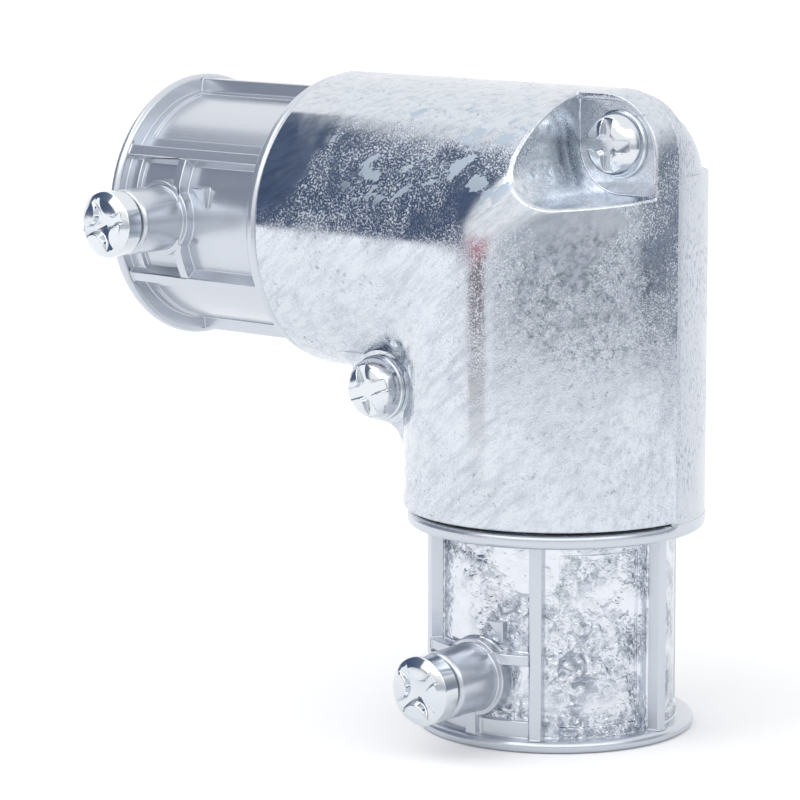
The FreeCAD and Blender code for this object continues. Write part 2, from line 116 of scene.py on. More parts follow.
def add_node(tree: NodeTree, kind: str, links: dict[Any, Any] | list[Any], **settings: Any) -> Node:
    """Add one shader node with its settings and links.

    Args:
        tree: Node tree that takes the node.
        kind: Type of the node, without the prefix that all shader nodes have.
        links: What goes into the inputs, in their order or by name or number: plain values, sockets, or
            nodes, of which the first output in use counts.
        settings: Properties of the node itself.

    Returns:
        The new node.
    """
    item = tree.nodes.new(f"ShaderNode{kind}")
    for name, setting in settings.items():
        setattr(item, name, setting)
    for key, source in links.items() if isinstance(links, dict) else enumerate(links):
        if isinstance(source, Node):
            source = next(socket for socket in source.outputs if socket.enabled)
        if isinstance(source, NodeSocket):
            tree.links.new(source, item.inputs[key])
        else:
            item.inputs[key].default_value = source
    return item


def layered(tree: NodeTree, base: Any, layers: list[tuple[Source, Any]]) -> Node:
    """Lay colours over one another, each as far as its mask reaches.

    Args:
        tree: Node tree of the material.
        base: Colour at the bottom.
        layers: Mask and colour of each layer, from the lowest up.

    Returns:
        The node that gives the colour on top.
    """
    for mask, colour in layers:
        base = add_node(tree, "Mix", {SHARE: mask, FIRST: base, SECOND: colour}, data_type="RGBA")
    return base


def ragged(tree: NodeTree, place: Source, size: float, amount: float) -> Node:
    """Shift coordinates to and fro, so that the edge of a region comes out torn.

    Args:
        tree: Node tree of the material.
        place: Coordinates to change.
        size: Width of one tear.
        amount: How far the edge wanders.

    Returns:
        The node that gives the changed coordinates.
    """
    drift = add_node(tree, "TexNoise", {"Vector": place, "Scale": per_mm(size), "Detail": 6.0})
    centred = add_node(tree, "VectorMath", [drift.outputs["Color"], (0.5,) * 3], operation="SUBTRACT")
    return add_node(tree, "VectorMath", [centred, (2 * amount * MM,) * 3, place], operation="MULTIPLY_ADD")


def frosting(tree: NodeTree, grain: Source, worn: Source, peaks: Span = (0.52, 0.62)) -> Node:
    """Mark specks of oxide: the peaks of a fine grain, as dense as the skin is worn."""
    return add_node(tree, "Math", [worn, add_node(tree, "MapRange", [grain, *peaks])], operation="MULTIPLY")


def add_metal(tree: NodeTree, links: dict[str, Any]) -> None:
    """Finish a material as bare metal, with what goes into the shader's inputs by name."""
    shader = add_node(tree, "BsdfPrincipled", {"Metallic": 1.0, **links})
    add_node(tree, "OutputMaterial", [shader])


def blank_material(name: str) -> tuple[Material, NodeTree]:
    """Make a material with no nodes.

    Args:
        name: Name of the material.

    Returns:
        The material and its empty node tree.
    """
    material = bpy.data.materials.new(name)
    material.use_nodes = True
    material.node_tree.nodes.clear()
    return material, material.node_tree


@dataclass(frozen=True)
class Spot:
    """A region of the surface, by its middle and its half size along each axis.

    Its edge fades over a span that is given in shares of the half size.
    """

    middle: Triple
    reach: Triple
    egg_edge: Span = (0.75, 1.0)
    diamond_edge: Span = (0.9, 1.0)

    def share(self, tree: NodeTree, place: Source) -> Node:
        """Measure places from the middle, in shares of the half size."""
        offset = add_node(tree, "VectorMath", [place, Vector(self.middle) * MM], operation="SUBTRACT")
        return add_node(tree, "VectorMath", [offset, Vector(self.reach) * MM], operation="DIVIDE")

    def egg(self, tree: NodeTree, place: Source) -> Node:
        """Mark an egg-shaped region: one inside it, falling softly to zero at its edge."""
        length = add_node(tree, "VectorMath", [self.share(tree, place)], operation="LENGTH")
        return add_node(tree, "MapRange", [length, *self.egg_edge, 1.0, 0.0])

    def diamond(self, tree: NodeTree, place: Source) -> Node:
        """Mark a diamond of the front view.

        Args:
            tree: Node tree of the material.
            place: Coordinates in the part's frame.

        Returns:
            The node that gives one inside the diamond and zero outside.
        """
        plain = add_node(tree, "VectorMath", [self.share(tree, place)], operation="ABSOLUTE")
        total = add_node(tree, "VectorMath", [plain, (1.0, 0.0, 1.0)], operation="DOT_PRODUCT")
        return add_node(tree, "MapRange", [total, *self.diamond_edge, 1.0, 0.0])


@dataclass(frozen=True)
class Streaks:
    """A texture drawn out along a slanting line across the front.

    Its features are a size wide and some times as long, and the line rises above +X in degrees.
    """

    size: float
    length: float
    rise: float
    detail: float
    roughness: float

    def value(self, tree: NodeTree, place: Source) -> Node:
        """Add the texture.

        Args:
            tree: Node tree of the material.
            place: Coordinates in the part's frame.

        Returns:
            The node that gives a value between zero and one.
        """
        turn = (0.0, -math.radians(self.rise), 0.0)
        drawn = add_node(tree, "Mapping", {
            "Vector": place, "Rotation": turn, "Scale": (self.length, 1.0, 1.0)}, vector_type="TEXTURE")
        return add_node(tree, "TexNoise", {
            "Vector": drawn, "Scale": per_mm(self.size), "Detail": self.detail, "Roughness": self.roughness})


@dataclass(frozen=True)
class TumbledZinc:
    """Zinc die casting tumbled bright: oxide specks, fine pits, rub marks and matt scraps of skin.

    The real grain is finer than the one here, which is drawn as coarse as it needs to show.
    """

    bright: str = "#D3D8DF"
    rubbed: str = "#B0B6C0"
    dull: str = "#8B929A"
    frosted: str = "#BBC2CB"
    speck: str = "#C0C9D4"
    pit: str = "#7F8893"
    skin: str = "#B4C0CC"
    cloud_size: float = 7.0
    grain_size: float = 0.22
    grain_depth: float = 0.012
    pit_size: float = 0.6
    stain_size: float = 0.9
    tear_size: float = 2.5
    tear_reach: float = 1.2
    rub_marks: Streaks = Streaks(size=0.8, length=7.0, rise=38.0, detail=6.0, roughness=0.7)
    scraps: Streaks = Streaks(size=2.4, length=2.4, rise=38.0, detail=6.0, roughness=0.6)
    polish: float = 0.1
    frost: float = 0.2
    matt: float = 0.55
    oxide: float = 0.25
    least_wear: float = 0.2
    least_frost: float = 0.4
    wear_span: Span = (0.4, 0.6)
    polish_span: Span = (0.4, 0.62)
    pit_span: Span = (0.3, 0.42)
    rub_span: Span = (0.45, 0.75)
    frost_span: Span = (0.35, 0.55)
    stain_span: Span = (0.45, 0.65)
    scrap_span: Span = (0.57, 0.585)
    notch: Spot = Spot((11.75, 0.0, 58.3), (4.0, 1.0, 7.2))
    ridge: Spot = Spot((3.2, -15.9, 59.8), (5.0, 4.0, 3.4))
    arm_end: Spot = Spot((-28.5, -13.0, 64.0), (7.0, 9.0, 9.0))
    scrap_band: Spot = Spot((-6.0, -13.0, 64.5), (17.0, 9.0, 8.0))
    pocket: Spot = Spot((12.0, -8.5, 66.0), (7.0, 7.5, 7.0))
    stained: Spot = Spot((12.0, -10.0, 50.0), (9.0, 10.0, 8.5))

    def material(self) -> Material:
        """Build the node material.

        Returns:
            The material of the cover.
        """
        material, tree = blank_material("tumbled_zinc")
        place = add_node(tree, "TexCoord", []).outputs["Object"]
        torn = ragged(tree, place, self.tear_size, self.tear_reach)
        cloud = add_node(tree, "TexNoise", {
            "Vector": place, "Scale": per_mm(self.cloud_size),
            "Detail": 5.0, "Roughness": 0.6, "Distortion": 0.8})
        grain = add_node(tree, "TexNoise", {
            "Vector": place, "Scale": per_mm(self.grain_size), "Detail": 2.0, "Roughness": 0.65})
        rub = self.rub_marks.value(tree, place)
        worn = self.wear(tree, torn, cloud)
        specks = frosting(tree, grain, worn)
        hollow = self.hollow(tree, place, rub)
        scraps = self.skin_scraps(tree, place)
        tone = layered(tree, linear(self.bright), [
            (add_node(tree, "MapRange", [rub, *self.rub_span]), linear(self.rubbed)),
            (self.stains(tree, place, torn), linear(self.dull)),
            (hollow, linear(self.frosted)),
            (specks, linear(self.speck)),
            (self.pits(tree, place, worn), linear(self.pit)),
            (scraps, linear(self.skin)),
        ])
        relief = add_node(tree, "Math", [grain, worn], operation="MULTIPLY")
        bump = add_node(tree, "Bump", {"Height": relief, "Strength": 1.0, "Distance": self.grain_depth * MM})
        oxidised = add_node(tree, "Math", [specks, hollow], operation="MAXIMUM")
        matted = add_node(tree, "Math", [specks, scraps], operation="MAXIMUM")
        sheen = add_node(tree, "MapRange", [cloud, *self.polish_span, self.polish, self.frost])
        add_metal(tree, {
            "Base Color": tone,
            "Metallic": add_node(tree, "MapRange", [oxidised, 0.0, 1.0, 1.0, self.oxide]),
            "Roughness": add_node(tree, "MapRange", [matted, 0.0, 1.0, sheen, self.matt]),
            "Normal": bump,
        })
        return material

    def wear(self, tree: NodeTree, torn: Source, cloud: Source) -> Node:
        """Mark the worn skin, which lies in clouds on all but the burnished spots.

        Args:
            tree: Node tree of the material.
            torn: Coordinates with torn edges.
            cloud: Value of the clouds.

        Returns:
            The node that gives how worn the skin is.
        """
        patchy = add_node(tree, "MapRange", [cloud, *self.wear_span, self.least_wear, 1.0])
        rough = add_node(tree, "MapRange", [self.burnish(tree, torn), 0.0, 1.0, 1.0, 0.0])
        return add_node(tree, "Math", [patchy, rough], operation="MULTIPLY")

    def burnish(self, tree: NodeTree, torn: Source) -> Node:
        """Mark a notch below the pocket, the end of the mitre ridge and the end of the arm.

        Args:
            tree: Node tree of the material.
            torn: Coordinates with torn edges.

        Returns:
            The node that gives one on those spots.
        """
        notch, ridge = self.notch.diamond(tree, torn), self.ridge.egg(tree, torn)
        corner = add_node(tree, "Math", [notch, ridge], operation="MAXIMUM")
        return add_node(tree, "Math", [self.arm_end.egg(tree, torn), corner], operation="MAXIMUM")

    def pits(self, tree: NodeTree, place: Source, worn: Source) -> Node:
        """Mark fine pits in the worn skin.

        Args:
            tree: Node tree of the material.
            place: Coordinates in the part's frame.
            worn: How worn the skin is.

        Returns:
            The node that gives one in the pits.
        """
        dents = add_node(tree, "TexNoise", {
            "Vector": place, "Scale": per_mm(self.pit_size), "Detail": 5.0, "Roughness": 0.7})
        deep = add_node(tree, "MapRange", [dents, *self.pit_span, 1.0, 0.0])
        return add_node(tree, "Math", [worn, deep], operation="MULTIPLY")

    def stains(self, tree: NodeTree, place: Source, torn: Source) -> Node:
        """Mark the dull stains at the top of the upright arm.

        Args:
            tree: Node tree of the material.
            place: Coordinates in the part's frame.
            torn: The same with torn edges.

        Returns:
            The node that gives one on the stains.
        """
        spots = add_node(tree, "TexNoise", {
            "Vector": place, "Scale": per_mm(self.stain_size), "Detail": 6.0, "Roughness": 0.75})
        dark = add_node(tree, "MapRange", [spots, *self.stain_span])
        return add_node(tree, "Math", [self.stained.egg(tree, torn), dark], operation="MULTIPLY")

    def hollow(self, tree: NodeTree, place: Source, rub: Source) -> Node:
        """Mark the frosted inside of the screw pocket, which the rub marks thin out."""
        thinned = add_node(tree, "MapRange", [rub, *self.frost_span, self.least_frost, 1.0])
        return add_node(tree, "Math", [self.pocket.egg(tree, place), thinned], operation="MULTIPLY")

    def skin_scraps(self, tree: NodeTree, place: Source) -> Node:
        """Mark the scraps of casting skin left on the level arm."""
        left = add_node(tree, "MapRange", [self.scraps.value(tree, place), *self.scrap_span])
        return add_node(tree, "Math", [self.scrap_band.egg(tree, place), left], operation="MULTIPLY")


@dataclass(frozen=True)
class SatinZinc:
    """Zinc as it leaves the die: an even satin skin, crinkled foil-bright panels and a worn barrel.

    The grain of the skin is drawn coarser than the real one, so that it shows.
    """

    tone: str = "#C8CDD5"
    foil: str = "#DEE2E9"
    # Painted shade: the colour of the darker flecks that stand for the shade in the creases of the crinkled
    # foil.
    crease_shade: str = "#949CA8"
    speck: str = "#A9B2BE"
    satin: float = 0.26
    glossy: float = 0.12
    matt: float = 0.5
    skin_metal: float = 0.8
    foil_metal: float = 0.95
    grain_size: float = 0.35
    grain_depth: float = 0.05
    grain_strength: float = 0.15
    specks: Streaks = Streaks(size=0.22, length=3.0, rise=90.0, detail=2.0, roughness=0.65)
    # Size and span of the flecks of painted crease shade on the foil.
    flake_size: float = 1.5
    flake_span: Span = (0.43, 0.58)
    crinkle_size: float = 0.7
    crinkle_depth: float = 0.42
    patch_size: float = 6.0
    patch_span: Span = (0.35, 0.6)
    least_patch: float = 0.05
    panel_radius: float = 13.55
    panel_depth: float = 0.5
    panel_top: float = 22.8
    top_fade: float = 0.3
    barrel_start: float = 24.6
    border: float = 0.1

    def material(self) -> Material:
        """Build the node material.

        Returns:
            The material of the body.
        """
        material, tree = blank_material("satin_zinc")
        place = add_node(tree, "TexCoord", []).outputs["Object"]
        cloud = add_node(tree, "TexNoise", {
            "Vector": place, "Scale": per_mm(self.patch_size), "Detail": 3.0, "Distortion": 0.8})
        patch = add_node(tree, "MapRange", [cloud, *self.patch_span, self.least_patch, 1.0])
        panel = self.panel(tree, place)
        worn = add_node(tree, "Math", [self.barrel(tree, place), patch], operation="MULTIPLY")
        specks = frosting(tree, self.specks.value(tree, place), worn)
        tone = layered(tree, linear(self.tone), [
            (panel, self.crumpled(tree, place, patch)), (specks, linear(self.speck))])
        sheen = add_node(tree, "MapRange", [panel, 0.0, 1.0, self.satin, self.glossy])
        add_metal(tree, {
            "Base Color": tone,
            "Metallic": add_node(tree, "MapRange", [panel, 0.0, 1.0, self.skin_metal, self.foil_metal]),
            "Roughness": add_node(tree, "MapRange", [specks, 0.0, 1.0, sheen, self.matt]),
            "Normal": self.relief(tree, place, add_node(tree, "Math", [panel, patch], operation="MULTIPLY")),
        })
        return material

    def crumpled(self, tree: NodeTree, place: Source, patch: Source) -> Node:
        """Colour the panels as foil, with darker flecks in patches that are painted shade of its creases.

        Args:
            tree: Node tree of the material.
            place: Coordinates in the part's frame.
            patch: How creased the foil is.

        Returns:
            The node that gives the colour.
        """
        # Painted shade: darker flecks where the foil is creased, standing for the shade in its creases, not
        # following the crinkles of the bump.
        flakes = add_node(tree, "TexNoise", {
            "Vector": place, "Scale": per_mm(self.flake_size),
            "Detail": 6.0, "Roughness": 0.65, "Distortion": 1.4})
        dark = add_node(tree, "MapRange", [flakes, *self.flake_span])
        creased = add_node(tree, "Math", [patch, dark], operation="MULTIPLY")
        return layered(tree, linear(self.foil), [(creased, linear(self.crease_shade))])

    def relief(self, tree: NodeTree, place: Source, creased: Source) -> Node:
        """Raise a fine grain all over and crinkles on the creased foil.

        Args:
            tree: Node tree of the material.
            place: Coordinates in the part's frame.
            creased: Where and how much the foil is creased.

        Returns:
            The node that gives the changed normal.
        """
        grain = add_node(tree, "TexNoise", {"Vector": place, "Scale": per_mm(self.grain_size), "Detail": 2.0})
        fine = add_node(tree, "Bump", {
            "Height": grain, "Strength": self.grain_strength, "Distance": self.grain_depth * MM})
        crinkle = add_node(tree, "TexNoise", {
            "Vector": place, "Scale": per_mm(self.crinkle_size),
            "Detail": 3.0, "Roughness": 0.5, "Distortion": 0.6})
        height = add_node(tree, "Math", [crinkle, creased], operation="MULTIPLY")
        return add_node(tree, "Bump", {"Height": height, "Normal": fine, "Distance": self.crinkle_depth * MM})

    def barrel(self, tree: NodeTree, place: Source) -> Node:
        """Mark the elbow barrel, past the shoulder rings of both sockets.

        Args:
            tree: Node tree of the material.
            place: Coordinates in the part's frame.

        Returns:
            The node that gives one on the barrel.
        """
        axes = add_node(tree, "SeparateXYZ", [place]).outputs
        low, left = self.barrel_start * MM, (self.barrel_start - ARM_LEVEL) * MM
        above = add_node(tree, "MapRange", [axes["Z"], low, low + self.border * MM])
        beside = add_node(tree, "MapRange", [axes["X"], left, left + self.border * MM])
        return add_node(tree, "Math", [above, beside], operation="MULTIPLY")

    def panel(self, tree: NodeTree, place: Source) -> Node:
        """Mark the panels between the ribs of the bottom socket.

        Args:
            tree: Node tree of the material.
            place: Coordinates in the part's frame.

        Returns:
            The node that gives one on the panels and zero elsewhere.
        """
        level = add_node(tree, "VectorMath", [place, (1.0, 1.0, 0.0)], operation="MULTIPLY")
        reach = add_node(tree, "VectorMath", [level], operation="LENGTH")
        height = add_node(tree, "SeparateXYZ", [place]).outputs["Z"]
        outer, inner = self.panel_radius + self.border, self.panel_radius - self.panel_depth
        outside = add_node(tree, "MapRange", [reach, outer * MM, (outer + self.border) * MM, 1.0, 0.0])
        inside = add_node(tree, "MapRange", [reach, (inner - self.border) * MM, inner * MM])
        fade = (self.panel_top - self.top_fade) * MM
        below = add_node(tree, "MapRange", [height, fade, self.panel_top * MM, 1.0, 0.0])
        wall = add_node(tree, "Math", [outside, inside], operation="MULTIPLY")
        return add_node(tree, "Math", [below, wall], operation="MULTIPLY")


@dataclass(frozen=True)
class PlatedSteel:
    """Bright zinc plating on steel: cool, smooth and almost a mirror."""

    tone: str = "#D8DDE2"
    roughness: float = 0.14

    def material(self) -> Material:
        """Build the node material.

        Returns:
            The material of the screws.
        """
        material, tree = blank_material("plated_steel")
        add_metal(tree, {"Base Color": linear(self.tone), "Roughness": self.roughness})
        return material


def deselect() -> None:
    """Leave nothing selected, so that an operator acts on one piece only."""
    bpy.ops.object.select_all(action="DESELECT")


def enter_edit() -> None:
    """Open edit mode."""
    bpy.ops.object.mode_set(mode="EDIT")


def leave_edit() -> None:
    """Close edit mode."""
    bpy.ops.object.mode_set(mode="OBJECT")


def apply_place() -> None:
    """Put the selected object's place, turn and scale into its mesh."""
    bpy.ops.object.transform_apply(location=True, rotation=True, scale=True)


def activate(piece: Object) -> None:
    """Select one object alone in object mode and make it the active one.

    Args:
        piece: Object to select.
    """
    if bpy.context.mode != "OBJECT":
        leave_edit()
    deselect()
    piece.select_set(True)
    bpy.context.view_layer.objects.active = piece


def open_edit(piece: Object, element: str) -> None:
    """Open a piece in edit mode with nothing selected.

    Args:
        piece: Object to edit.
        element: Kind of element to select next.
    """
    activate(piece)
    enter_edit()
    bpy.ops.mesh.select_mode(type=element)
    bpy.ops.mesh.select_all(action="DESELECT")


def pick_faces(piece: Object, test: Callable[[MeshPolygon], bool]) -> None:
    """Open a piece in edit mode with the faces selected that pass a test.

    Args:
        piece: Object to edit.
        test: Tells whether a face is wanted.
    """
    open_edit(piece, "FACE")
    leave_edit()
    for face in piece.data.polygons:
        face.select = test(face)
    enter_edit()


def pick_edges(piece: Object, test: EdgeTest, sharpness: float = 0.0) -> None:
    """Open a piece in edit mode with the edges selected that pass a test.

    Args:
        piece: Object to edit.
        test: Tells from an edge's two ends whether it is wanted.
        sharpness: Least angle in degrees at a wanted edge.
    """
    open_edit(piece, "EDGE")
    bpy.ops.mesh.edges_select_sharp(sharpness=math.radians(sharpness))
    leave_edit()
    points = piece.data.vertices
    for face in piece.data.polygons:
        face.select = False
    for edge in piece.data.edges:
        edge.select = edge.select and test(*(points[number].co / MM for number in edge.vertices))
    enter_edit()


def draw_up(height: float) -> None:
    """Extrude the selected faces upwards."""
    bpy.ops.mesh.extrude_region_move(TRANSFORM_OT_translate={"value": (0.0, 0.0, height * MM)})


def narrow(share: float) -> None:
    """Scale the selection to a share of its width about the upright axis."""
    bpy.ops.transform.resize(value=(share, share, 1.0), center_override=(0.0, 0.0, 0.0))


def apply_modifier(piece: Object, kind: str, **settings: Any) -> None:
    """Add a modifier to a piece and apply it.

    Args:
        piece: Object to change.
        kind: Type of the modifier.
        settings: Properties of the modifier.
    """
    activate(piece)
    modifier = piece.modifiers.new(kind.lower(), kind)
    for name, setting in settings.items():
        setattr(modifier, name, setting)
    bpy.ops.object.modifier_apply(modifier=modifier.name)


def cut_away(piece: Object, tool: Object) -> None:
    """Take one solid out of another and throw the tool away."""
    apply_modifier(piece, "BOOLEAN", operation="DIFFERENCE", solver="EXACT", object=tool)
    bpy.data.objects.remove(tool)


def round_edges(piece: Object, radius: float, sharp_angle: float, rounding: Rounding) -> None:
    """Round the sharp edges of a piece and shade it smooth.

    Args:
        piece: Object to change.
        radius: Size of the rounding.
        sharp_angle: Angle in degrees from which an edge counts as sharp.
        rounding: What gives each edge its share of the radius.
    """
    apply_modifier(piece, "BEVEL", width=radius * MM, segments=5, limit_method=rounding.value,
                   angle_limit=math.radians(sharp_angle), use_clamp_overlap=False, miter_outer="MITER_ARC")
    apply_modifier(piece, "TRIANGULATE", min_vertices=5)
    bpy.ops.object.shade_smooth_by_angle(angle=math.radians(SMOOTH_ANGLE))
    apply_modifier(piece, "WEIGHTED_NORMAL", mode="FACE_AREA", weight=50, keep_sharp=True)


def reaches(point: Vector) -> tuple[float, float]:
    """Distances of a point from the mouths of the bottom and the side socket."""
    return point.z, point.x + ARM_LEVEL


def radii(point: Vector) -> tuple[float, float]:
    """Distances of a point from the axes of the bottom and the side socket."""
    return math.hypot(point.x, point.y), math.hypot(point.y, point.z - ARM_LEVEL)


@dataclass
class Piece:
    """One piece of the fitting: its finish, and the CAD node and body that it stands for."""

    finish: Material
    node: str
    slot: ClassVar[Slot]

    def build(self) -> Object:
        """Model the piece, each kind in its own way."""
        raise NotImplementedError

    def settle(self, piece: Object) -> Object:
        """Dress a finished object and let it stand for its CAD node.

        Args:
            piece: Finished object.

        Returns:
            The same object.
        """
        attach(piece, self.node)
        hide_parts(self.node)
        piece.data.materials.clear()
        piece.data.materials.append(self.finish)
        return piece


@dataclass
class Casting(Piece):
    """A die casting: its CAD solid with the rounding of cast edges, softest on the long outer ones."""

    edge_radius: float
    soft_radius: float
    sharp_angle: float = 28.0
    merge_gap: float = 0.002
    flat_angle: float = 0.3
    end_face: float = 0.999

    def build(self) -> Object:
        """Copy the CAD mesh, join its faces apart from those square to a socket, and round its edges.

        Returns:
            The casting, in place of its CAD node.
        """
        piece = bpy.data.objects.new(f"{self.node}_casting", frame["nodes"][self.node].data.copy())
        bpy.context.scene.collection.objects.link(piece)
        activate(piece)
        enter_edit()
        bpy.ops.mesh.select_all(action="SELECT")
        bpy.ops.mesh.remove_doubles(threshold=self.merge_gap * MM)
        bpy.ops.mesh.customdata_custom_splitnormals_clear()
        pick_faces(piece, lambda face: max(abs(face.normal.x), abs(face.normal.z)) < self.end_face)
        bpy.ops.mesh.dissolve_limited(angle_limit=math.radians(self.flat_angle))
        pick_edges(piece, lambda one, two: not self.is_crisp(one, two), self.sharp_angle)
        bpy.ops.transform.edge_bevelweight(value=self.edge_radius / self.soft_radius)
        pick_edges(piece, self.is_soft, self.sharp_angle)
        bpy.ops.transform.edge_bevelweight(value=1.0)
        round_edges(piece, self.soft_radius, self.sharp_angle, Rounding.WEIGHTED)
        return self.settle(piece)

    def is_crisp(self, one: Vector, two: Vector) -> bool:
        """Tell whether an edge gets no rounding."""
        raise NotImplementedError

    def is_soft(self, one: Vector, two: Vector) -> bool:
        """Tell whether an edge gets the softest rounding."""
        raise NotImplementedError


@dataclass
class Body(Casting):
    """The casting with both sockets, the screw bosses and the back half of the barrel."""

    node: str = "body"
    edge_radius: float = 0.16
    soft_radius: float = 0.6
    rim_radius: float = 15.3
    ring_inside: float = 0.4
    boss_end: float = -20.7
    slack: float = 0.1
    slot: ClassVar[Slot] = Slot.SATIN_CASTING

    def is_crisp(self, one: Vector, two: Vector) -> bool:
        """Tell whether an edge is on the shallow step between a ring and the back of the barrel."""
        gaps = [min(abs(reach - RING_TOP) for reach in reaches(point)) for point in (one, two)]
        return max(gaps) < self.slack and min(one.y, two.y) > -self.slack

    def is_soft(self, one: Vector, two: Vector) -> bool:
        """Tell whether an edge is on a flange, on a shoulder ring or on a boss's end."""
        return self.is_rim(one) and self.is_rim(two)

    def is_rim(self, point: Vector) -> bool:
        """Tell whether a point is on a boss's end, a flange or a ring, at the back only on its mouth side.

        Args:
            point: Point of the casting.

        Returns:
            Whether the edges there are soft.
        """
        limit = RING_TOP + self.slack if point.y < self.slack else RING_TOP - self.ring_inside
        is_wide = any(reach < limit and radius > self.rim_radius
                      for reach, radius in zip(reaches(point), radii(point)))
        return is_wide or point.y < self.boss_end


@dataclass
class Cover(Casting):
    """The front half of the barrel, with a pocket at the outer corner and an ear at the inner one."""

    node: str = "cover"
    edge_radius: float = 0.14
    soft_radius: float = 0.35
    ear_span: Span = (11.0, 26.0)
    ear_front: float = -0.6
    seam_radii: Span = (16.0, 17.6)
    corner_start: float = 3.0
    pocket_front: float = -4.0
    pocket_radius: float = 16.0
    end_reach: float = 0.6
    parting: float = -0.05
    skin_radius: float = 16.9
    slot: ClassVar[Slot] = Slot.BRIGHT_CASTING

    def is_crisp(self, one: Vector, two: Vector) -> bool:
        """Tell whether an edge is a hollow seam where the ear grows out of the skin."""
        return min(one.y, two.y) < self.ear_front and self.is_seam(one) and self.is_seam(two)

    def is_seam(self, point: Vector) -> bool:
        """Tell whether a point is at the inner corner and on the skin.

        Args:
            point: Point of the casting.

        Returns:
            Whether the ear's seam may pass there.
        """
        near, far = self.ear_span
        inner, outer = self.seam_radii
        is_near = all(near < offset < far for offset in (-point.x, ARM_LEVEL - point.z))
        return is_near and inner < min(radii(point)) < outer

    def is_soft(self, one: Vector, two: Vector) -> bool:
        """Tell whether an edge is round the pocket's mouth or round either end of the skin.

        Args:
            one: First end of the edge.
            two: Its other end.

        Returns:
            Whether the edge is soft.
        """
        depth = min(one.y, two.y)
        ends = (one, two)
        if all(min(point.x, point.z - ARM_LEVEL) > self.corner_start for point in ends):
            return depth < self.pocket_front and all(max(radii(point)) > self.pocket_radius for point in ends)
        is_end = all(min(reaches(point)) < RING_TOP + self.end_reach for point in ends)
        return is_end and depth < self.parting and all(min(radii(point)) > self.skin_radius for point in ends)


@dataclass
class Screw(Piece):
    """A plated screw, modelled upright with the underside of its head at the origin.

    Shares are in pitches: the thread's depth, the length without a thread and the part of it at the tip.
    """

    spin: float
    head_height: float
    thread_radius: float
    pitch: float
    edge_radius: float = 0.11
    sharp_angle: float = 25.0
    thread_share: float = 0.55
    plain_share: float = 1.5
    tip_share: float = 0.8
    sides: int = 64
    core_sides: int = 40
    thread_steps: int = 28
    head_radius: float = field(init=False)
    length: float = field(init=False)
    seat: Vector = field(init=False)
    slot: ClassVar[Slot] = Slot.PLATED_STEEL

    def __post_init__(self) -> None:
        """Read the head's size and the screw's place from the CAD node."""
        low, high = (Vector(corner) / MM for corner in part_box(self.node))
        self.head_radius = (high.x - low.x) / 2
        self.length = high.y - low.y - self.head_height
        self.seat = Vector(((low.x + high.x) / 2, low.y + self.head_height, (low.z + high.z) / 2))

    def build(self) -> Object:
        """Model the head and the thread, join them and put the screw in its place.

        Returns:
            The screw, in place of its CAD node.
        """
        head = self.head()
        round_edges(head, self.edge_radius, self.sharp_angle, Rounding.EVEN)
        pieces = [head, self.core(), self.thread()]
        activate(head)
        for piece in pieces:
            piece.select_set(True)
        bpy.ops.object.join()
        head.name = f"{self.node}_turned"
        head.rotation_euler = (math.pi / 2, 0.0, 0.0)
        head.location = self.seat * MM
        apply_place()
        return self.settle(head)

    def head(self) -> Object:
        """Model the head, each kind of screw in its own way."""
        raise NotImplementedError

    def disc(self, radius: float, height: float, bottom: float, sides: int) -> Object:
        """Add an upright cylinder as a start.

        Args:
            radius: Radius of the cylinder.
            height: Its height.
            bottom: Level of its underside.
            sides: Number of sides.

        Returns:
            The cylinder.
        """
        deselect()
        bpy.ops.mesh.primitive_cylinder_add(vertices=sides, radius=radius * MM, depth=height * MM,
                                            location=(0.0, 0.0, (bottom + height / 2) * MM))
        apply_place()
        return bpy.context.object

    def thread_depth(self) -> float:
        """Depth of the thread, a little over half its pitch."""
        return self.thread_share * self.pitch

    def core(self) -> Object:
        """Turn the root cylinder of the thread, with a bevelled tip.

        Returns:
            The cylinder.
        """
        depth = self.thread_depth()
        core = self.disc(self.thread_radius - depth, self.length, -self.length, self.core_sides)
        pick_faces(core, lambda face: face.normal.z < -SQUARE)
        bpy.ops.mesh.bevel(offset=depth * MM, segments=2, affect="EDGES")
        leave_edit()
        bpy.ops.object.shade_smooth_by_angle(angle=math.radians(THREAD_SMOOTH_ANGLE))
        return core

    def thread(self) -> Object:
        """Draw the helical ridge round the root cylinder from a three-sided section.

        Returns:
            The ridge, closed at both ends.
        """
        turns = int((self.length - self.plain_share * self.pitch) / self.pitch)
        deselect()
        bpy.ops.mesh.primitive_circle_add(vertices=3, radius=self.thread_depth() * MM, fill_type="NOTHING",
                                          rotation=(math.pi / 2, math.pi / 2, 0.0))
        apply_place()
        ridge = bpy.context.object
        widest = max(point.co.x for point in ridge.data.vertices)
        start = self.pitch * self.tip_share - self.length
        ridge.location = (self.thread_radius * MM - widest, 0.0, start * MM)
        apply_place()
        apply_modifier(ridge, "SCREW", axis="Z", angle=2 * math.pi, screw_offset=self.pitch * MM,
                       iterations=turns, steps=self.thread_steps, render_steps=self.thread_steps,
                       use_smooth_shade=False)
        open_edit(ridge, "EDGE")
        bpy.ops.mesh.select_non_manifold()
        bpy.ops.mesh.fill()
        bpy.ops.mesh.select_all(action="SELECT")
        bpy.ops.mesh.normals_make_consistent(inside=False)
        leave_edit()
        bpy.ops.object.shade_smooth_by_angle(angle=math.radians(THREAD_SMOOTH_ANGLE))
        return ridge


